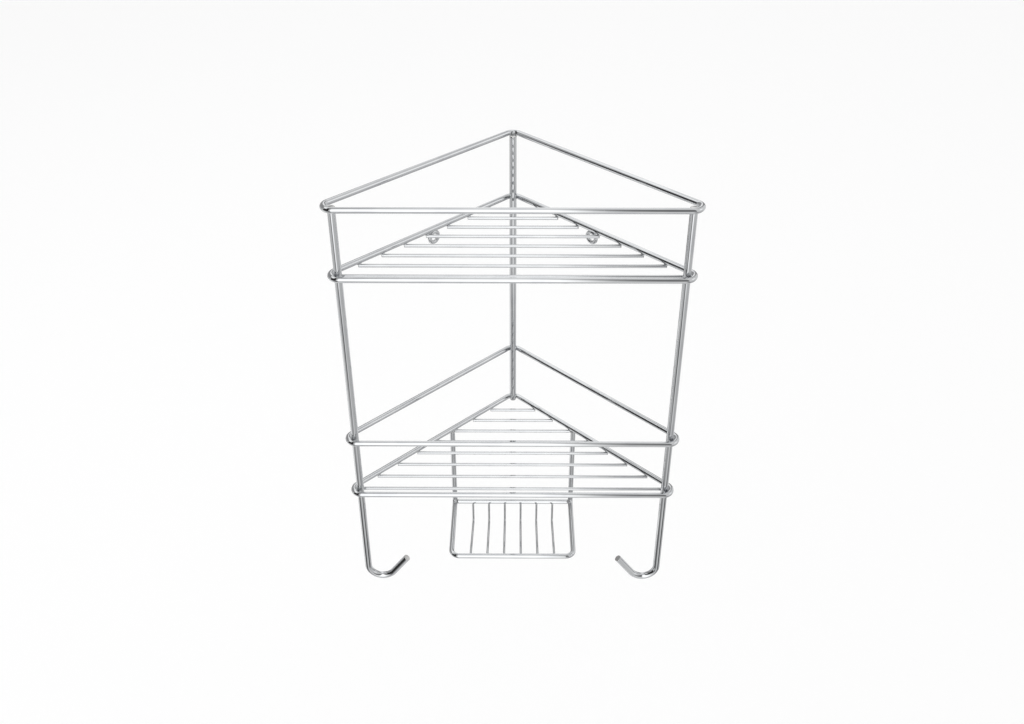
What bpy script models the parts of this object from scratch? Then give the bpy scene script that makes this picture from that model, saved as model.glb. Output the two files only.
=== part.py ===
"""Two-shelf corner shower caddy of bent and welded chromed wire.

Metres, +Z up. The origin is on the vertical line where the two walls meet, level with the
holes of the two wall eyelets. +Y points into the wall corner and +X to the right, so the
walls are the vertical planes at 45 degrees on either side of +Y. Everything is welded: one
rigid piece with no moving part.
"""

import math

import bmesh
import bpy
from mathutils import Matrix, Vector

# Wire diameters.
RAIL_D = 0.0050
POST_D = 0.0064
SLAT_D = 0.0030
DISH_SLAT_D = 0.0022

# Clearance that stands in for each weld.
WELD_GAP = 0.0003

# The triangular rings: half of the front side, corner to corner on the wire's centre line.
# The walls are square to each other, so the depth from front to back corner is the same.
HALF_FRONT = 0.1580
BEND_R = 0.00825

# Heights of the ring centre lines above the lower shelf rim.
UPPER_RIM_UP = 0.2267
TOP_GUARD_UP = 0.2880
LOWER_GUARD_UP = 0.0598

# Eyelets: flat rings welded under the upper rim's side rails, flush with the walls.
EYELET_R = 0.0065
EYELET_HOLE_R = 0.0030
EYELET_THICKNESS = 0.0025
EYELET_EDGE = 0.0004
EYELET_ALONG_WALL = 0.0982

# Shelf slats, counted from the front.
SLATS_PER_SHELF = 8
FIRST_SLAT_BACK = 0.0136
SLAT_PITCH = 0.01735

# Front posts end in J-hooks that lie in a plane parallel to the front.
HOOK_R = 0.0135
HOOK_LOW = 0.1109
HOOK_TURN = math.radians(142.8)
HOOK_TIP = 0.0232
POST_TOP_DROP = 0.0005

# Soap dish under the lower shelf.
DISH_HALF_WIDTH = 0.0600
DISH_DEPTH = 0.0795
DISH_DROP = 0.0958
DISH_BEND_R = 0.0050
DISH_CORNER_R = 0.0080
DISH_SLATS = 6
DISH_SLAT_PITCH = 0.01652
DISH_SLAT_LOW = 0.1215
DISH_SLAT_BEND_R = 0.0030
DISH_SLAT_END_BACK = 0.0021
DISH_SLAT_END_DOWN = 0.0026

# Facets round each wire, given as Blender's bevel resolution, and along each bend.
RAIL_FACETS = 6
SLAT_FACETS = 4
BEND_STEP = math.radians(10.0)
EYELET_SEGMENTS = 32

CHROME = (0.80, 0.81, 0.83)

# Derived places.
RAIL_R = RAIL_D / 2
POST_R = POST_D / 2
CORNER_TO_WALLS = RAIL_R * math.sqrt(2)
FRONT_Y = -(HALF_FRONT + CORNER_TO_WALLS)
EYELET_DROP = RAIL_R + WELD_GAP + EYELET_R
LOWER_RIM_Z = EYELET_DROP - UPPER_RIM_UP
UPPER_RIM_Z = LOWER_RIM_Z + UPPER_RIM_UP
TOP_GUARD_Z = LOWER_RIM_Z + TOP_GUARD_UP
LOWER_GUARD_Z = LOWER_RIM_Z + LOWER_GUARD_UP
SLAT_BELOW_RIM = RAIL_R + WELD_GAP + SLAT_D / 2


def clear_scene():
    for obj in list(bpy.data.objects):
        bpy.data.objects.remove(obj, do_unlink=True)


def chrome_material(name, roughness):
    material = bpy.data.materials.new(name)
    material.use_nodes = True
    shader = material.node_tree.nodes["Principled BSDF"]
    shader.inputs["Base Color"].default_value = (*CHROME, 1.0)
    shader.inputs["Metallic"].default_value = 1.0
    shader.inputs["Roughness"].default_value = roughness
    return material


def rounded_corner(before, corner, after, radius):
    """Points of the arc that rounds one corner of a bent wire."""
    to_before = (before - corner).normalized()
    to_after = (after - corner).normalized()
    half_angle = to_before.angle(to_after) / 2
    turn = math.pi - 2 * half_angle
    steps = max(2, round(turn / BEND_STEP))
    bisector = (to_before + to_after).normalized()
    centre = corner + bisector * (radius / math.sin(half_angle))
    start = corner + to_before * (radius / math.tan(half_angle)) - centre
    axis = to_after.cross(to_before).normalized()
    return [centre + Matrix.Rotation(turn * i / steps, 3, axis) @ start for i in range(steps + 1)]


def bent_path(points, radii, closed=False):
    """Centre line of a wire through the points, with each corner rounded to its radius."""
    points = [Vector(point) for point in points]
    path = [] if closed else [points[0]]
    corners = range(len(points)) if closed else range(1, len(points) - 1)
    for i, radius in zip(corners, radii):
        path += rounded_corner(points[i - 1], points[i], points[(i + 1) % len(points)], radius)
    return path if closed else path + [points[-1]]


def wire(name, path, diameter, facets, material, closed=False):
    """A round wire along the path, with flat cut ends unless it is closed."""
    curve = bpy.data.curves.new(name, "CURVE")
    curve.dimensions = "3D"
    curve.bevel_depth = diameter / 2
    curve.bevel_resolution = facets
    curve.use_fill_caps = not closed
    spline = curve.splines.new("POLY")
    spline.points.add(len(path) - 1)
    for point, place in zip(spline.points, path):
        point.co = (*place, 1.0)
    spline.use_cyclic_u = closed
    spline.use_smooth = True
    curve.materials.append(material)
    obj = bpy.data.objects.new(name, curve)
    bpy.context.collection.objects.link(obj)
    return obj


def ring(name, height, material):
    """One closed right-angled triangle of rail wire, its long side at the front."""
    corners = [
        (-HALF_FRONT, FRONT_Y, height),
        (HALF_FRONT, FRONT_Y, height),
        (0.0, FRONT_Y + HALF_FRONT, height),
    ]
    path = bent_path(corners, [BEND_R] * 3, closed=True)
    return wire(name, path, RAIL_D, RAIL_FACETS, material, closed=True)


def post_place_in_corner(half_angle):
    """How far a nested post's centre is from a ring's sharp corner, along the bisector."""
    arc_centre = BEND_R / math.sin(half_angle)
    return arc_centre - (BEND_R - RAIL_R - WELD_GAP - POST_R)


def back_post(material):
    y = FRONT_Y + HALF_FRONT - post_place_in_corner(math.radians(45.0))
    path = [(0.0, y, LOWER_RIM_Z), (0.0, y, TOP_GUARD_Z - POST_TOP_DROP)]
    return wire("back_post", path, POST_D, RAIL_FACETS, material)


def front_post(name, side, material):
    """A front post and its J-hook. side is -1 on the left and 1 on the right."""
    reach = post_place_in_corner(math.radians(22.5))
    x = HALF_FRONT - reach * math.cos(math.radians(22.5))
    y = FRONT_Y + reach * math.sin(math.radians(22.5))
    bend_z = LOWER_RIM_Z - HOOK_LOW + HOOK_R
    steps = round(HOOK_TURN / BEND_STEP)
    outline = [(x, TOP_GUARD_Z - POST_TOP_DROP)]
    for i in range(steps + 1):
        turned = HOOK_TURN * i / steps
        outline.append((x - HOOK_R * (1 - math.cos(turned)), bend_z - HOOK_R * math.sin(turned)))
    tip_x = outline[-1][0] - HOOK_TIP * math.sin(HOOK_TURN)
    tip_z = outline[-1][1] - HOOK_TIP * math.cos(HOOK_TURN)
    outline.append((tip_x, tip_z))
    path = [(side * along, y, up) for along, up in outline]
    return wire(name, path, POST_D, RAIL_FACETS, material)


def shelf_slats(shelf, rim_z, material):
    """The slats under one rim, from the front to the back corner."""
    for i in range(SLATS_PER_SHELF):
        back = FIRST_SLAT_BACK + SLAT_PITCH * i
        half_length = HALF_FRONT - back
        z = rim_z - SLAT_BELOW_RIM
        path = [(-half_length, FRONT_Y + back, z), (half_length, FRONT_Y + back, z)]
        wire(f"{shelf}_slat_{i + 1}", path, SLAT_D, SLAT_FACETS, material)


def dish_back_y():
    """The hangers stand under the side rails, so their distance back follows from the width."""
    return FRONT_Y + HALF_FRONT - DISH_HALF_WIDTH


def dish_frame(material):
    """Hanger, arm, front rail, arm and hanger, bent from one wire."""
    top = LOWER_RIM_Z - RAIL_R - WELD_GAP
    low = LOWER_RIM_Z - DISH_DROP
    back = dish_back_y()
    front = back - DISH_DEPTH
    side = DISH_HALF_WIDTH
    points = [
        (-side, back, top),
        (-side, back, low),
        (-side, front, low),
        (side, front, low),
        (side, back, low),
        (side, back, top),
    ]
    path = bent_path(points, [DISH_BEND_R, DISH_CORNER_R, DISH_CORNER_R, DISH_BEND_R])
    return wire("dish_frame", path, RAIL_D, RAIL_FACETS, material)


def dish_bar_place():
    """The cross-bar meets the hangers halfway round their lower bends."""
    inset = DISH_BEND_R * (1 - math.sqrt(0.5))
    return dish_back_y() - inset, LOWER_RIM_Z - DISH_DROP + inset


def dish_bar(material):
    y, z = dish_bar_place()
    half_length = DISH_HALF_WIDTH - RAIL_R - WELD_GAP
    path = [(-half_length, y, z), (half_length, y, z)]
    return wire("dish_cross_bar", path, RAIL_D, RAIL_FACETS, material)


def dish_slats(material):
    """Thin wires from under the cross-bar, down, and forward to the back of the front rail."""
    bar_y, bar_z = dish_bar_place()
    below = RAIL_R + WELD_GAP
    front = dish_back_y() - DISH_DEPTH + DISH_SLAT_END_BACK
    front_z = LOWER_RIM_Z - DISH_DROP - DISH_SLAT_END_DOWN
    low = LOWER_RIM_Z - DISH_SLAT_LOW
    for i in range(DISH_SLATS):
        x = DISH_SLAT_PITCH * (i - (DISH_SLATS - 1) / 2)
        points = [(x, bar_y, bar_z - below), (x, bar_y, low), (x, front, front_z)]
        path = bent_path(points, [DISH_SLAT_BEND_R])
        wire(f"dish_slat_{i + 1}", path, DISH_SLAT_D, SLAT_FACETS, material)


def eyelet_mesh():
    """A flat ring about its own Z axis, its back face at z = 0, with softened edges."""
    flat_in = EYELET_HOLE_R + EYELET_EDGE
    flat_out = EYELET_R - EYELET_EDGE
    near = EYELET_EDGE
    far = EYELET_THICKNESS - EYELET_EDGE
    outline = [
        (EYELET_HOLE_R, far),
        (EYELET_HOLE_R, near),
        (flat_in, 0.0),
        (flat_out, 0.0),
        (EYELET_R, near),
        (EYELET_R, far),
        (flat_out, EYELET_THICKNESS),
        (flat_in, EYELET_THICKNESS),
    ]
    shape = bmesh.new()
    verts = [shape.verts.new((radius, 0.0, height)) for radius, height in outline]
    edges = [shape.edges.new((verts[i - 1], verts[i])) for i in range(len(verts))]
    bmesh.ops.spin(
        shape,
        geom=verts + edges,
        axis=(0.0, 0.0, 1.0),
        cent=(0.0, 0.0, 0.0),
        angle=math.tau,
        steps=EYELET_SEGMENTS,
        use_merge=True,
    )
    bmesh.ops.remove_doubles(shape, verts=shape.verts, dist=1e-6)
    bmesh.ops.recalc_face_normals(shape, faces=shape.faces)
    mesh = bpy.data.meshes.new("eyelet")
    shape.to_mesh(mesh)
    shape.free()
    mesh.shade_smooth()
    mesh.set_sharp_from_angle(angle=math.radians(40.0))
    return mesh


def eyelet(name, side, mesh):
    """An eyelet with its back on the wall. side is -1 on the left and 1 on the right."""
    off_line = EYELET_ALONG_WALL * math.sqrt(0.5)
    into_room = Vector((-side, -1.0, 0.0)).normalized()
    up = Vector((0.0, 0.0, 1.0))
    across = up.cross(into_room)
    obj = bpy.data.objects.new(name, mesh)
    obj.matrix_world = Matrix((across, up, into_room)).transposed().to_4x4()
    obj.location = (side * off_line, -off_line, 0.0)
    bpy.context.collection.objects.link(obj)
    return obj


def build():
    clear_scene()
    rail_chrome = chrome_material("rail_chrome", 0.08)
    post_chrome = chrome_material("post_chrome", 0.10)
    slat_chrome = chrome_material("slat_chrome", 0.09)
    dish_chrome = chrome_material("dish_chrome", 0.10)
    eyelet_chrome = chrome_material("eyelet_chrome", 0.14)

    ring("top_guard_rail", TOP_GUARD_Z, rail_chrome)
    ring("upper_rim", UPPER_RIM_Z, rail_chrome)
    ring("lower_guard_rail", LOWER_GUARD_Z, rail_chrome)
    ring("lower_rim", LOWER_RIM_Z, rail_chrome)
    back_post(post_chrome)
    front_post("left_post_hook", -1, post_chrome)
    front_post("right_post_hook", 1, post_chrome)
    shelf_slats("upper", UPPER_RIM_Z, slat_chrome)
    shelf_slats("lower", LOWER_RIM_Z, slat_chrome)
    dish_frame(dish_chrome)
    dish_bar(dish_chrome)
    dish_slats(dish_chrome)

    mesh = eyelet_mesh()
    mesh.materials.append(eyelet_chrome)
    eyelet("left_eyelet", -1, mesh)
    eyelet("right_eyelet", 1, mesh)


build()
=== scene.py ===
"""Corner shower caddy of bent chromed wire: the fine visible surface of each CAD wire, its
weld beads and its chrome, with a pale studio round it. Metres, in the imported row's frame."""

import math

import bmesh
import bpy
from mathutils import Matrix, Vector, noise


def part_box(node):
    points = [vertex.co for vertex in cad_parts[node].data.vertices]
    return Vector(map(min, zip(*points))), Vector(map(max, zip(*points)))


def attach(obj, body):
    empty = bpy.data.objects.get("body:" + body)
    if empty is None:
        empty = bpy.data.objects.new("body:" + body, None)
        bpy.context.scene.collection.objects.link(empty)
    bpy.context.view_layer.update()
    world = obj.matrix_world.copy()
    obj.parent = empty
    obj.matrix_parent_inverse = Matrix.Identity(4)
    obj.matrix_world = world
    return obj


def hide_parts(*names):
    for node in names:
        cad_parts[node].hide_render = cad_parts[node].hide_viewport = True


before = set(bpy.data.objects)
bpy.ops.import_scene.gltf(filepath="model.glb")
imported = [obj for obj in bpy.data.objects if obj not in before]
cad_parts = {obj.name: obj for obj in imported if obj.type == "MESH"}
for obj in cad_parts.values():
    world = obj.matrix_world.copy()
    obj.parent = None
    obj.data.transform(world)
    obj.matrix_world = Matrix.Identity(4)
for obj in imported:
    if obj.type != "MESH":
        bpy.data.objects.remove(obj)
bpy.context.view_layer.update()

# The wires, as the CAD has them.
RAIL_R = 0.0025
POST_R = 0.0032
SLAT_R = 0.0015
DISH_SLAT_R = 0.0011
BEND_R = 0.00825
HOOK_R = 0.0135
HOOK_TURN = math.radians(142.8)
DISH_BEND_R = 0.0050
DISH_CORNER_R = 0.0080
DISH_SLAT_BEND_R = 0.0030
DISH_SLAT_LOW = 0.1215
DISH_SLAT_END_BACK = 0.0021
DISH_SLAT_END_DOWN = 0.0026
WELD_GAP = 0.0003
SHELF_SLATS = 8
DISH_SLATS = 6
EYELET_R = 0.0065
EYELET_HOLE_R = 0.0030
EYELET_THICKNESS = 0.0025

# How far each cut end or rim is rolled over.
CUT_EDGE = 0.0004
SLAT_CUT_EDGE = 0.0003
DISH_SLAT_CUT_EDGE = 0.0002
EYELET_BACK_EDGE = 0.0004
EYELET_FRONT_EDGE = 0.0016

# Weld beads: half their length and width, then half their thickness.
SLAT_BEAD = ((0.0021, 0.0013), 0.00075)
POST_BEAD = ((0.0019, 0.0011), 0.0006)
HANGER_BEAD = ((0.0024, 0.0021), 0.0008)
CROSS_BAR_BEAD = ((0.0018, 0.0018), 0.0006)
DISH_SLAT_TOP_BEAD = ((0.0017, 0.0013), 0.0006)
DISH_SLAT_TIP_BEAD = ((0.0016, 0.0011), 0.0006)
EYELET_BEAD = ((0.0022, 0.0011), 0.0008)
SLAT_BEAD_INSET = 0.0009
DISH_SLAT_TIP_BEAD_RISE = 0.0002
BEAD_LUMPINESS = 0.10
BEAD_LUMP_RATE = 1.7
BEAD_VARIETY = 900.0

# How finely each surface is drawn.
WIRE_SIDES = 32
THIN_SIDES = 20
BEND_STEP = math.radians(5.0)
CUT_EDGE_STEPS = 4
WORN_REACH = 0.0009
EYELET_SIDES = 96
BEAD_SIDES = 20
BEAD_RINGS = 12
CLOSING_RUN = 0.01
EYELET_UV_STEP = 0.0008
SHARP_ANGLE = math.radians(40.0)

# How worn the beads and the eyelets are. A wire is 0 along its length and 1 at its cut ends.
BEAD_WORN = 0.1
EYELET_WORN = 0.1
EYELET_HOLE_WORN = 0.6

# The chrome. Sizes in metres, those with two values across and along the wire.
CHROME_TINT = (0.60, 0.61, 0.62)
BRIGHT_GAIN = (1.03, 1.03, 1.03)
HAZE_GAIN = (0.95, 0.95, 0.96)
WORN_TINT = (0.59, 0.585, 0.575)
BLOTCH_SIZE = 0.022
SPECK_SIZE = 0.0028
PEEL_SIZE = 0.0012
DRAW_LINE_SIZE = (0.0005, 0.018)
WAVE_SIZE = (0.0090, 0.045)
WAVE_HEIGHT = 0.000008
DRAW_LINE_HEIGHT = 0.0000007
PEEL_HEIGHT = 0.0000012
WORN_HEIGHT = -0.000006
# Where each effect sets in and where it is full, on the noise or sum that drives it.
DULL_BAND = (0.50, 0.72)
HAZE_BAND = (0.35, 0.70)
LINE_BAND = (0.52, 0.75)
SPOT_BAND = (0.66, 0.74)
WORN_BAND = (0.75, 1.45)
SPECK_IN_WORN = 0.6
# Roughness, as a share of the wire's own, and then as it stands.
CLEAR_SHARE = 0.8
DULL_SHARE = 1.9
LINE_SHARE = 1.5
SPOT_ROUGHNESS = 0.16
WORN_ROUGHNESS = 0.24

# The camera's place, how far it looks down and how far it turns to the left.
CAMERA_PLACE = (0.00288, -0.89911, 0.43543)
CAMERA_DOWN = math.radians(34.40)
CAMERA_LEFT = math.radians(0.25)
LENS = 37.46
SENSOR_WIDTH = 36.0
CLIP_START = 0.01

FLOOR_HALF = 12.0
FLOOR_Z = -1.0
FLOOR_TINT = (0.96, 0.96, 0.96, 1.0)
FLOOR_ROUGHNESS = 0.8


UP = Vector((0.0, 0.0, 1.0))
ACROSS = Vector((1.0, 0.0, 0.0))
HALF_CORNER = math.radians(22.5)
RINGS = ("top_guard_rail", "upper_rim", "lower_guard_rail", "lower_rim")


def centre(node):
    low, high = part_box(node)
    return (low + high) / 2


def rounded_corner(before, corner, after, radius):
    """Points of the arc that rounds one corner of a bent wire."""
    to_before = (before - corner).normalized()
    to_after = (after - corner).normalized()
    half_angle = to_before.angle(to_after) / 2
    turn = math.pi - 2 * half_angle
    steps = max(2, round(turn / BEND_STEP))
    bisector = (to_before + to_after).normalized()
    middle = corner + bisector * (radius / math.sin(half_angle))
    start = corner + to_before * (radius / math.tan(half_angle)) - middle
    axis = to_after.cross(to_before).normalized()
    return [middle + Matrix.Rotation(turn * i / steps, 3, axis) @ start for i in range(steps + 1)]


def bent_path(points, radii, closed=False):
    """Centre line of a wire through the points, with each corner rounded to its radius."""
    points = [Vector(point) for point in points]
    path = [] if closed else [points[0]]
    corners = range(len(points)) if closed else range(1, len(points) - 1)
    for i, radius in zip(corners, radii):
        path += rounded_corner(points[i - 1], points[i], points[(i + 1) % len(points)], radius)
    return path if closed else path + [points[-1]]


def tangents_of(path, closed):
    tangents = []
    for i in range(len(path)):
        before = path[i - 1] if i or closed else path[i]
        after = path[(i + 1) % len(path)] if i + 1 < len(path) or closed else path[i]
        tangents.append((after - before).normalized())
    return tangents


def wire_mesh(name, path, radius, sides, closed=False, edge=CUT_EDGE):
    """A round wire swept along the path, with its cut ends slightly rolled over. Each station is
    its point, tangent, side way, radius, distance along the wire and how worn it is."""
    shape = bmesh.new()
    uv = shape.loops.layers.uv.new("wire")
    worn = shape.verts.layers.float.new("worn")
    tangents = tangents_of(path, closed)
    side = tangents[0].orthogonal().normalized()
    stations = []
    along = 0.0
    for i, (point, tangent) in enumerate(zip(path, tangents)):
        if i:
            along += (point - path[i - 1]).length
            turn = tangents[i - 1].rotation_difference(tangent)
            side = turn @ side
        side = (side - tangent * side.dot(tangent)).normalized()
        stations.append((point, tangent, side.copy(), radius, along, 0.0))
    if not closed:
        first_end = cut_end(stations[0], -1, edge)[::-1]
        last_end = cut_end(stations[-1], 1, edge)
        stations = first_end + stations[1:-1] + last_end
    rings = []
    spokes = [math.tau * k / sides for k in range(sides)]
    for point, tangent, side, ring_radius, _, how_worn in stations:
        other = tangent.cross(side)
        rings.append([
            shape.verts.new(point + (side * math.cos(a) + other * math.sin(a)) * ring_radius)
            for a in spokes
        ])
        for vert in rings[-1]:
            vert[worn] = how_worn
    spans = len(rings) if closed else len(rings) - 1
    for i in range(spans):
        near, far = rings[i], rings[(i + 1) % len(rings)]
        if closed and i == spans - 1:
            far = best_turn(near, far)
        near_v = stations[i][4]
        far_v = stations[(i + 1) % len(rings)][4] if i + 1 < len(rings) else near_v + CLOSING_RUN
        for k in range(sides):
            quad = (near[k], near[(k + 1) % sides], far[(k + 1) % sides], far[k])
            face = shape.faces.new(quad)
            face.smooth = True
            us = (k, k + 1, k + 1, k)
            for loop, u, v in zip(face.loops, us, (near_v, near_v, far_v, far_v)):
                loop[uv].uv = (math.tau * radius * u / sides, v)
    if not closed:
        shape.faces.new(rings[0][::-1]).smooth = True
        shape.faces.new(rings[-1]).smooth = True
    bmesh.ops.recalc_face_normals(shape, faces=shape.faces)
    mesh = bpy.data.meshes.new(name)
    shape.to_mesh(mesh)
    shape.free()
    return mesh


def best_turn(near, far):
    """The far ring's points, counted from the one that lies nearest the near ring's first."""
    start = min(range(len(far)), key=lambda k: (far[k].co - near[0].co).length)
    return far[start:] + far[:start]


def cut_end(station, way, edge):
    """The rings that round a wire's cut edge. way is 1 at the wire's end and -1 at its start."""
    point, tangent, side, radius, along, _ = station
    back = edge + WORN_REACH
    rings = [(point - tangent * (way * back), tangent, side, radius, along - way * back, 0.0)]
    for step in range(CUT_EDGE_STEPS + 1):
        angle = math.pi / 2 * step / CUT_EDGE_STEPS
        back = edge * (1 - math.sin(angle))
        shrink = edge * (1 - math.cos(angle))
        place = point - tangent * (way * back)
        rings.append((place, tangent, side, radius - shrink, along - way * back, 1.0))
    return rings


def wire(node, path, radius, sides, material, closed=False, edge=CUT_EDGE):
    """The visible wire that stands for a CAD node."""
    mesh = wire_mesh("fine_" + node, path, radius, sides, closed, edge)
    obj = bpy.data.objects.new("fine_" + node, mesh)
    bpy.context.scene.collection.objects.link(obj)
    mesh.materials.append(material)
    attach(obj, "root")
    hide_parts(node)
    return obj


class Nodes:
    """Short ways to add nodes to one tree."""

    def __init__(self, tree):
        self.tree = tree

    def add(self, kind, *values, **settings):
        node = self.tree.nodes.new(kind)
        for name, value in settings.items():
            setattr(node, name, value)
        for socket, value in zip(node.inputs, values):
            self.put(socket, value)
        return node

    def put(self, socket, value):
        if isinstance(value, bpy.types.NodeSocket):
            self.tree.links.new(value, socket)
        elif value is not None:
            socket.default_value = value

    def math(self, operation, *values):
        return self.add("ShaderNodeMath", *values, operation=operation).outputs[0]

    def smooth(self, value, low, high, to_low=0.0, to_high=1.0):
        node = self.add("ShaderNodeMapRange", value, low, high, to_low, to_high)
        node.interpolation_type = "SMOOTHSTEP"
        return node.outputs[0]

    def mix(self, factor, first, second):
        node = self.add("ShaderNodeMix", factor, data_type="FLOAT")
        self.put(node.inputs["A"], first)
        self.put(node.inputs["B"], second)
        return node.outputs[0]

    def mix_colour(self, factor, first, second):
        node = self.add("ShaderNodeMix", factor, data_type="RGBA")
        self.put(node.inputs[6], first)
        self.put(node.inputs[7], second)
        return node.outputs[2]

    def noise(self, place, size, detail=2.0, roughness=0.5):
        """Noise with features about this big, in metres."""
        node = self.add("ShaderNodeTexNoise", place)
        node.inputs["Scale"].default_value = 1.0 / size
        node.inputs["Detail"].default_value = detail
        node.inputs["Roughness"].default_value = roughness
        return node.outputs["Fac"]

    def stretched(self, place, across, along):
        """The wire's own coordinates, scaled so that noise of size 1 is this big in metres."""
        node = self.add("ShaderNodeMapping", place, vector_type="POINT")
        node.inputs["Scale"].default_value = (1.0 / across, 1.0 / along, 1.0)
        return node.outputs[0]


def chrome(name, roughness, ripple=0.5, grain=0.5):
    """Bright plating on drawn wire: long draw lines under it, slow ripples, a fine orange peel,
    faint dulling in patches, and grey steel where a cut edge has worn through."""
    material = bpy.data.materials.new(name)
    material.use_nodes = True
    nodes = Nodes(material.node_tree)
    shader = material.node_tree.nodes["Principled BSDF"]
    place = nodes.add("ShaderNodeTexCoord").outputs["Object"]
    wire_place = nodes.add("ShaderNodeUVMap", uv_map="wire").outputs[0]
    worn = nodes.add("ShaderNodeAttribute", attribute_name="worn").outputs["Fac"]

    blotch = nodes.noise(place, BLOTCH_SIZE, detail=3.0)
    peel = nodes.noise(place, PEEL_SIZE, detail=2.0)
    lines = nodes.noise(nodes.stretched(wire_place, *DRAW_LINE_SIZE), 1.0, detail=2.0)
    waves = nodes.noise(nodes.stretched(wire_place, *WAVE_SIZE), 1.0, detail=1.0)
    speck = nodes.noise(place, SPECK_SIZE, detail=4.0, roughness=0.7)

    dull = nodes.smooth(blotch, *DULL_BAND)
    spots = nodes.smooth(speck, *SPOT_BAND)
    wear = nodes.math("ADD", worn, nodes.math("MULTIPLY", speck, SPECK_IN_WORN))
    scratched = nodes.smooth(wear, *WORN_BAND)
    rough = nodes.mix(dull, roughness * CLEAR_SHARE, roughness * DULL_SHARE)
    lined = nodes.math("MULTIPLY", rough, LINE_SHARE)
    rough = nodes.mix(nodes.smooth(lines, *LINE_BAND), rough, lined)
    rough = nodes.mix(spots, rough, SPOT_ROUGHNESS)
    rough = nodes.mix(scratched, rough, WORN_ROUGHNESS)
    nodes.put(shader.inputs["Roughness"], rough)

    bright = (*(tint * gain for tint, gain in zip(CHROME_TINT, BRIGHT_GAIN)), 1.0)
    hazed = (*(tint * gain for tint, gain in zip(CHROME_TINT, HAZE_GAIN)), 1.0)
    colour = nodes.mix_colour(nodes.smooth(blotch, *HAZE_BAND), bright, hazed)
    colour = nodes.mix_colour(scratched, colour, (*WORN_TINT, 1.0))
    nodes.put(shader.inputs["Base Color"], colour)
    shader.inputs["Metallic"].default_value = 1.0

    height = nodes.math("MULTIPLY", waves, WAVE_HEIGHT * ripple)
    height = nodes.math("ADD", height, nodes.math("MULTIPLY", lines, DRAW_LINE_HEIGHT * grain))
    height = nodes.math("ADD", height, nodes.math("MULTIPLY", peel, PEEL_HEIGHT * grain))
    height = nodes.math("ADD", height, nodes.math("MULTIPLY", scratched, WORN_HEIGHT))
    bump = nodes.add("ShaderNodeBump")
    bump.inputs["Strength"].default_value = 1.0
    bump.inputs["Distance"].default_value = 1.0
    nodes.put(bump.inputs["Height"], height)
    nodes.put(shader.inputs["Normal"], bump.outputs[0])
    return material


def ring_path(node):
    low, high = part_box(node)
    z = centre(node).z
    half_front = high.x - RAIL_R - BEND_R + BEND_R / math.tan(HALF_CORNER)
    front = low.y + RAIL_R
    corners = [(-half_front, front, z), (half_front, front, z), (0.0, front + half_front, z)]
    return bent_path(corners, [BEND_R] * 3, closed=True)


def back_post_path():
    low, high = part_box("back_post")
    middle = centre("back_post")
    return [Vector((middle.x, middle.y, low.z)), Vector((middle.x, middle.y, high.z))]


def hooked_post_path(node, side):
    """From the top down, round the J and up to its tip. side is -1 on the left, 1 on the right."""
    low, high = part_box(node)
    x = (high.x if side > 0 else -low.x) - POST_R
    y = centre(node).y
    bend_z = low.z + POST_R + HOOK_R
    steps = round(HOOK_TURN / BEND_STEP)
    outline = [(x, high.z)]
    for i in range(steps + 1):
        turned = HOOK_TURN * i / steps
        outline.append((x - HOOK_R * (1 - math.cos(turned)), bend_z - HOOK_R * math.sin(turned)))
    tip_edge = (low.x if side > 0 else -high.x) + POST_R * math.sin(HOOK_TURN - math.pi / 2)
    reach = (outline[-1][0] - tip_edge) / math.sin(HOOK_TURN)
    tip_z = outline[-1][1] - reach * math.cos(HOOK_TURN)
    outline.append((tip_edge, tip_z))
    return [Vector((side * along, y, up)) for along, up in outline]


def straight_path(node):
    low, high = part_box(node)
    middle = centre(node)
    return [Vector((low.x, middle.y, middle.z)), Vector((high.x, middle.y, middle.z))]


def dish_frame_path():
    low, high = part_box("dish_frame")
    side = high.x - RAIL_R
    back = high.y - RAIL_R
    front = low.y + RAIL_R
    level = low.z + RAIL_R
    points = [
        (-side, back, high.z),
        (-side, back, level),
        (-side, front, level),
        (side, front, level),
        (side, back, level),
        (side, back, high.z),
    ]
    return bent_path(points, [DISH_BEND_R, DISH_CORNER_R, DISH_CORNER_R, DISH_BEND_R])


def dish_slat_path(node):
    """Down from under the cross-bar, then forward and up to the back of the front rail."""
    low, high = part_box(node)
    x = (low.x + high.x) / 2
    bar = centre("dish_cross_bar")
    frame_low, frame_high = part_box("dish_frame")
    rail_y = frame_low.y + RAIL_R
    rail_z = frame_low.z + RAIL_R
    bottom = centre("lower_rim").z - DISH_SLAT_LOW
    points = [
        (x, bar.y, bar.z - RAIL_R - WELD_GAP),
        (x, bar.y, bottom),
        (x, rail_y + DISH_SLAT_END_BACK, rail_z - DISH_SLAT_END_DOWN),
    ]
    return bent_path(points, [DISH_SLAT_BEND_R])


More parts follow.
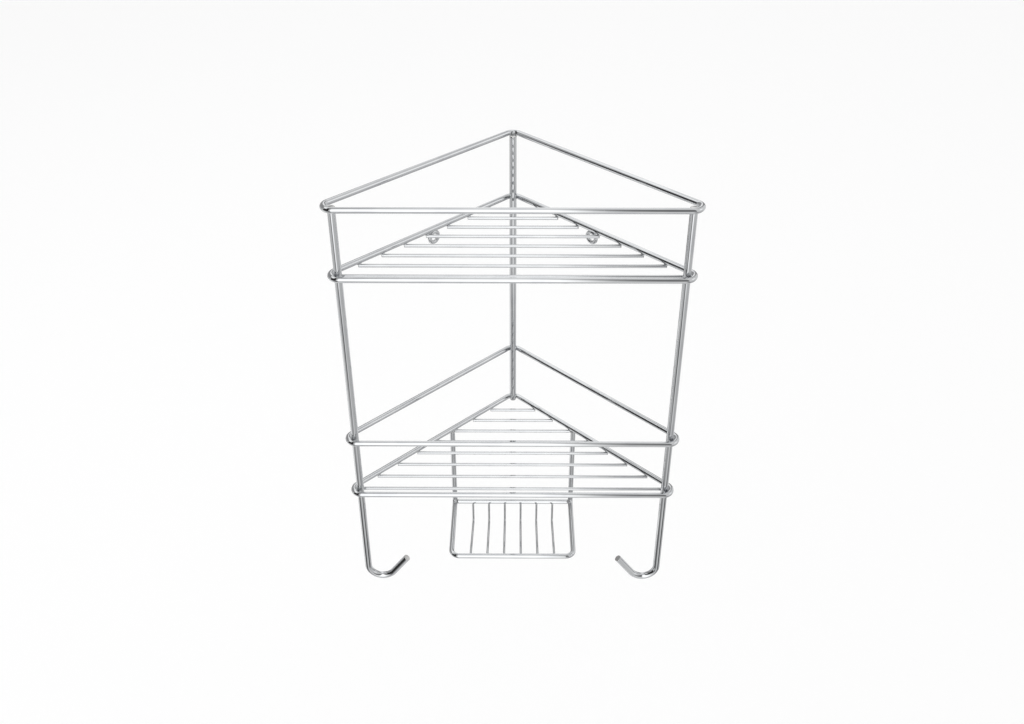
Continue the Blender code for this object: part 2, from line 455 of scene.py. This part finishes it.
def eyelet_mesh(name):
    """A flat ring about its own Z axis, its back face at z = 0, with rolled edges."""
    near, far = EYELET_HOLE_R, EYELET_R
    back, front = EYELET_BACK_EDGE, EYELET_FRONT_EDGE
    corners = (
        (far - back, back, back, 270.0),
        (far - front, EYELET_THICKNESS - front, front, 0.0),
        (near + front, EYELET_THICKNESS - front, front, 90.0),
        (near + back, back, back, 180.0),
    )
    outline = []
    for radius, height, edge, start in corners:
        steps = CUT_EDGE_STEPS * 2
        for step in range(steps + 1):
            angle = math.radians(start + 90.0 * step / steps)
            outline.append((radius + edge * math.cos(angle), height + edge * math.sin(angle)))
    shape = bmesh.new()
    uv = shape.loops.layers.uv.new("wire")
    worn = shape.verts.layers.float.new("worn")
    rings = []
    for k in range(EYELET_SIDES):
        angle = math.tau * k / EYELET_SIDES
        rings.append([
            shape.verts.new((radius * math.cos(angle), radius * math.sin(angle), height))
            for radius, height in outline
        ])
        for vert, (radius, _) in zip(rings[-1], outline):
            vert[worn] = EYELET_HOLE_WORN if radius < near + back else EYELET_WORN
    count = len(outline)
    run = math.tau * far / EYELET_SIDES
    for k in range(EYELET_SIDES):
        here, there = rings[k], rings[(k + 1) % EYELET_SIDES]
        for i in range(count):
            after = (i + 1) % count
            face = shape.faces.new((here[i], there[i], there[after], here[after]))
            face.smooth = True
            spots = ((i, k), (i, k + 1), (i + 1, k + 1), (i + 1, k))
            for loop, (across, along) in zip(face.loops, spots):
                loop[uv].uv = (across * EYELET_UV_STEP, along * run)
    bmesh.ops.recalc_face_normals(shape, faces=shape.faces)
    mesh = bpy.data.meshes.new(name)
    shape.to_mesh(mesh)
    shape.free()
    mesh.set_sharp_from_angle(angle=SHARP_ANGLE)
    return mesh


def eyelet(node, side, material):
    """The visible ring that stands for one wall eyelet. side is -1 on the left, 1 on the right."""
    place = eyelet_place(node, side)
    mesh = eyelet_mesh("fine_" + node)
    mesh.transform(place)
    mesh.materials.append(material)
    obj = bpy.data.objects.new("fine_" + node, mesh)
    bpy.context.scene.collection.objects.link(obj)
    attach(obj, "root")
    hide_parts(node)


def eyelet_place(node, side):
    """The ring stands on its wall, which is square to the way from the wall to the room."""
    into_room = Vector((-side, -1.0, 0.0)).normalized()
    middle = centre(node) - into_room * (EYELET_THICKNESS / 2)
    turn = Matrix((UP.cross(into_room), UP, into_room)).transposed().to_4x4()
    return Matrix.Translation(middle) @ turn


def bead(shape, worn, place, normal, size, lean=None):
    """One weld bead: a lumpy flattened drop. normal is the way from wire to wire, and lean, where
    it is given, is the way that the bead's length lies."""
    (half_length, half_width), half_thickness = size
    normal = normal.normalized()
    along = (lean or normal.orthogonal()).normalized()
    along = (along - normal * along.dot(normal)).normalized()
    turn = Matrix((along, normal.cross(along), normal)).transposed()
    ball = bmesh.ops.create_uvsphere(
        shape, u_segments=BEAD_SIDES, v_segments=BEAD_RINGS, radius=1.0
    )["verts"]
    for vert in ball:
        p = vert.co.copy()
        lump = 1.0 + BEAD_LUMPINESS * noise.noise(p * BEAD_LUMP_RATE + place * BEAD_VARIETY)
        scaled = Vector((p.x * half_length, p.y * half_width, p.z * half_thickness)) * lump
        vert.co = place + turn @ scaled
        vert[worn] = BEAD_WORN
    for face in {face for vert in ball for face in vert.link_faces}:
        face.smooth = True


def bead_piece(name, beads, material):
    """All the beads of one kind as one piece. Each is its place, normal, size and lean."""
    shape = bmesh.new()
    worn = shape.verts.layers.float.new("worn")
    for each in beads:
        bead(shape, worn, *each)
    mesh = bpy.data.meshes.new(name)
    shape.to_mesh(mesh)
    shape.free()
    mesh.materials.append(material)
    obj = bpy.data.objects.new(name, mesh)
    bpy.context.scene.collection.objects.link(obj)
    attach(obj, "root")


def slat_beads(shelf):
    """Where each end of a slat lies under the rim's side rail."""
    beads = []
    for i in range(SHELF_SLATS):
        low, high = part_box(f"{shelf}_slat_{i + 1}")
        middle = (low + high) / 2
        z = high.z + WELD_GAP / 2
        for side, x in ((-1, low.x), (1, high.x)):
            place = Vector((x - side * SLAT_BEAD_INSET, middle.y, z))
            rail_way = Vector((-side, 1.0, 0.0))
            beads.append((place, UP, SLAT_BEAD, rail_way))
    return beads


def post_beads():
    """Where each post is pressed into a corner of each ring."""
    beads = []
    for post, side in (("back_post", 0), ("left_post_hook", -1), ("right_post_hook", 1)):
        low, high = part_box(post)
        if side:
            out = Vector((side * math.cos(HALF_CORNER), -math.sin(HALF_CORNER), 0.0))
            x = (high.x if side > 0 else low.x) - side * POST_R
        else:
            out = Vector((0.0, 1.0, 0.0))
            x = 0.0
        for ring in RINGS:
            middle = Vector((x, (low.y + high.y) / 2, centre(ring).z))
            place = middle + out * (POST_R + WELD_GAP / 2)
            beads.append((place, out, POST_BEAD, UP))
    return beads


def dish_beads():
    """Hangers under the rim, the cross-bar between the hangers, and both ends of each slat."""
    low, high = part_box("dish_frame")
    bar = centre("dish_cross_bar")
    bar_low, bar_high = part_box("dish_cross_bar")
    beads = []
    for side, end in ((-1, bar_low.x), (1, bar_high.x)):
        x = side * (high.x - RAIL_R)
        top = Vector((x, high.y - RAIL_R, high.z + WELD_GAP / 2))
        beads.append((top, UP, HANGER_BEAD, Vector((-side, 1.0, 0.0))))
        place = Vector((end + side * WELD_GAP / 2, bar.y, bar.z))
        beads.append((place, ACROSS, CROSS_BAR_BEAD, None))
    for i in range(DISH_SLATS):
        path = dish_slat_path(f"dish_slat_{i + 1}")
        top = path[0] + Vector((0, 0, WELD_GAP / 2))
        beads.append((top, UP, DISH_SLAT_TOP_BEAD, ACROSS))
        rail = Vector((path[-1].x, low.y + RAIL_R, low.z + RAIL_R))
        out = (path[-1] - rail).normalized()
        place = rail + out * (RAIL_R + DISH_SLAT_TIP_BEAD_RISE)
        beads.append((place, out, DISH_SLAT_TIP_BEAD, ACROSS))
    return beads


def eyelet_beads():
    """Where each eyelet's top meets the side rail above it."""
    beads = []
    for node, side in (("left_eyelet", -1), ("right_eyelet", 1)):
        place = centre(node)
        place.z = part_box(node)[1].z + WELD_GAP / 2
        beads.append((place, UP, EYELET_BEAD, Vector((-side, 1.0, 0.0))))
    return beads


def build_wires():
    rail = chrome("rail_chrome_fine", 0.035)
    post = chrome("post_chrome_fine", 0.035)
    slat = chrome("slat_chrome_fine", 0.035, ripple=0.25)
    dish = chrome("dish_chrome_fine", 0.040)
    ringed = chrome("eyelet_chrome_fine", 0.06, ripple=0.3, grain=1.0)
    welded = chrome("weld_chrome_fine", 0.12, ripple=0.0, grain=3.0)
    for node in RINGS:
        wire(node, ring_path(node), RAIL_R, WIRE_SIDES, rail, closed=True)
    wire("back_post", back_post_path(), POST_R, WIRE_SIDES, post)
    wire("left_post_hook", hooked_post_path("left_post_hook", -1), POST_R, WIRE_SIDES, post)
    wire("right_post_hook", hooked_post_path("right_post_hook", 1), POST_R, WIRE_SIDES, post)
    for shelf in ("upper", "lower"):
        for i in range(SHELF_SLATS):
            node = f"{shelf}_slat_{i + 1}"
            wire(node, straight_path(node), SLAT_R, THIN_SIDES, slat, edge=SLAT_CUT_EDGE)
        bead_piece(f"{shelf}_slat_welds", slat_beads(shelf), welded)
    wire("dish_cross_bar", straight_path("dish_cross_bar"), RAIL_R, WIRE_SIDES, dish)
    wire("dish_frame", dish_frame_path(), RAIL_R, WIRE_SIDES, dish)
    for i in range(DISH_SLATS):
        node = f"dish_slat_{i + 1}"
        wire(node, dish_slat_path(node), DISH_SLAT_R, THIN_SIDES, dish, edge=DISH_SLAT_CUT_EDGE)
    eyelet("left_eyelet", -1, ringed)
    eyelet("right_eyelet", 1, ringed)
    bead_piece("post_welds", post_beads(), welded)
    bead_piece("dish_welds", dish_beads(), welded)
    bead_piece("eyelet_welds", eyelet_beads(), welded)


def look_at_corner():
    """The camera stands in front of the corner, above the caddy, and looks down into it."""
    camera = bpy.data.cameras.new("camera")
    camera.lens = LENS
    camera.sensor_width = SENSOR_WIDTH
    camera.clip_start = CLIP_START
    obj = bpy.data.objects.new("camera", camera)
    obj.location = CAMERA_PLACE
    obj.rotation_euler = (math.pi / 2 - CAMERA_DOWN, 0.0, CAMERA_LEFT)
    bpy.context.scene.collection.objects.link(obj)
    bpy.context.scene.camera = obj


# The studio, as the chrome sees it: an even pale surround with large soft-edged cards and panels.
# Azimuth 0 is behind the caddy, 90 to its right and 180 on the camera's side; elevation is up
# from level. Brightness 1 is that of the even light that falls on the floor.
TONE_BY_ELEVATION = ((-90, 0.95), (-40, 0.62), (-15, 0.75), (8, 0.92), (50, 0.82), (72, 1.0))
# Each card or panel: azimuth, elevation, half its width and height, how soft its rim is, and how
# much brighter than its surround it is, or darker where that is negative.
STUDIO_CARDS = (
    (-172, 15, 13, 45, 6, 0.9),
    (-120, 20, 25, 40, 8, -0.9),
    (172, -30, 10, 15, 8, 0.3),
    (-70, -70, 25, 40, 8, 0.5),
    (-130, -50, 25, 10, 8, -0.5),
    (130, -50, 15, 10, 8, -0.6),
    (-50, 20, 40, 25, 8, -0.5),
    (-20, -30, 12, 18, 8, -0.5),
    (25, 10, 9, 40, 8, -0.6),
    (5, 35, 10, 35, 6, 0.3),
    (158, 30, 15, 40, 8, -0.6),
    (98, 25, 16, 12, 8, 0.5),
    (40, -30, 30, 15, 8, 0.3),
    (-70, 70, 40, 10, 8, -0.9),
    (-155, -25, 14, 12, 8, -0.5),
)
DARKEST = 0.03
# The soft light: a wide bank high behind the caddy's left. Azimuth, elevation, distance, width,
# height and how bright its face is.
SOFTBOX = (-60, 54, 3.0, 4.7, 1.05, 0.5)
# The backdrop as the camera sees it, so that it meets the lit floor without a step.
CLEAR_BACKDROP = 0.975


def card_factor(nodes, way, elevation, azimuth, height, half_width, half_height, soft):
    """1 inside one card of the studio, 0 outside it."""
    turned = nodes.add("ShaderNodeVectorRotate", way, rotation_type="Z_AXIS")
    turned.inputs["Angle"].default_value = math.radians(azimuth)
    parts = nodes.add("ShaderNodeSeparateXYZ", turned.outputs[0])
    off = nodes.math("ABSOLUTE", nodes.math("ARCTAN2", parts.outputs[0], parts.outputs[1]))
    reach = [math.radians(v) for v in (half_width + soft / 2, half_width - soft / 2)]
    across = nodes.smooth(off, *reach)
    off = nodes.math("ABSOLUTE", nodes.math("SUBTRACT", elevation, math.radians(height)))
    reach = [math.radians(v) for v in (half_height + soft / 2, half_height - soft / 2)]
    return nodes.math("MULTIPLY", across, nodes.smooth(off, *reach))


def studio_tone(nodes):
    """Brightness of the studio in each direction."""
    way = nodes.add("ShaderNodeTexCoord").outputs["Generated"]
    z = nodes.add("ShaderNodeSeparateXYZ", way).outputs[2]
    elevation = nodes.math("ARCSINE", z)
    tone = TONE_BY_ELEVATION[0][1]
    for (low, _), (high, level) in zip(TONE_BY_ELEVATION, TONE_BY_ELEVATION[1:]):
        rise = nodes.smooth(elevation, math.radians(low), math.radians(high))
        tone = nodes.mix(rise, tone, level)
    for azimuth, height, half_width, half_height, soft, more in STUDIO_CARDS:
        card = (azimuth, height, half_width, half_height, soft)
        factor = card_factor(nodes, way, elevation, *card)
        tone = nodes.math("MULTIPLY_ADD", factor, more, tone)
    return nodes.math("MAXIMUM", tone, DARKEST)


def studio_world():
    """Even and pale for the camera and the floor; for the chrome, the studio with its cards."""
    world = bpy.data.worlds.new("studio")
    world.use_nodes = True
    nodes = Nodes(world.node_tree)
    background = world.node_tree.nodes["Background"]
    rays = nodes.add("ShaderNodeLightPath").outputs
    plain = nodes.mix(rays["Is Camera Ray"], 1.0, CLEAR_BACKDROP)
    strength = nodes.mix(rays["Is Glossy Ray"], plain, studio_tone(nodes))
    nodes.put(background.inputs["Strength"], strength)
    background.inputs["Color"].default_value = (1.0, 1.0, 1.0, 1.0)
    bpy.context.scene.world = world


def softbox():
    azimuth, elevation, distance, width, height, brightness = SOFTBOX
    across, up = math.radians(azimuth), math.radians(elevation)
    way = Vector((math.sin(across) * math.cos(up), math.cos(across) * math.cos(up), math.sin(up)))
    light = bpy.data.lights.new("softbox", "AREA")
    light.shape = "RECTANGLE"
    light.size = width
    light.size_y = height
    light.energy = brightness * math.pi * width * height
    obj = bpy.data.objects.new("softbox", light)
    obj.location = way * distance
    obj.rotation_euler = way.to_track_quat("Z", "Y").to_euler()
    bpy.context.scene.collection.objects.link(obj)


def stage():
    mesh = bpy.data.meshes.new("floor")
    far = FLOOR_HALF
    corners = [(-far, -far, 0), (far, -far, 0), (far, far, 0), (-far, far, 0)]
    mesh.from_pydata(corners, [], [(0, 1, 2, 3)])
    floor = bpy.data.objects.new("floor", mesh)
    floor.location.z = FLOOR_Z
    floor.visible_glossy = False
    bpy.context.scene.collection.objects.link(floor)
    material = bpy.data.materials.new("floor")
    material.use_nodes = True
    shader = material.node_tree.nodes["Principled BSDF"]
    shader.inputs["Base Color"].default_value = FLOOR_TINT
    shader.inputs["Roughness"].default_value = FLOOR_ROUGHNESS
    mesh.materials.append(material)
    softbox()
    studio_world()
    bpy.context.scene.view_settings.view_transform = "Standard"


build_wires()
look_at_corner()
stage()
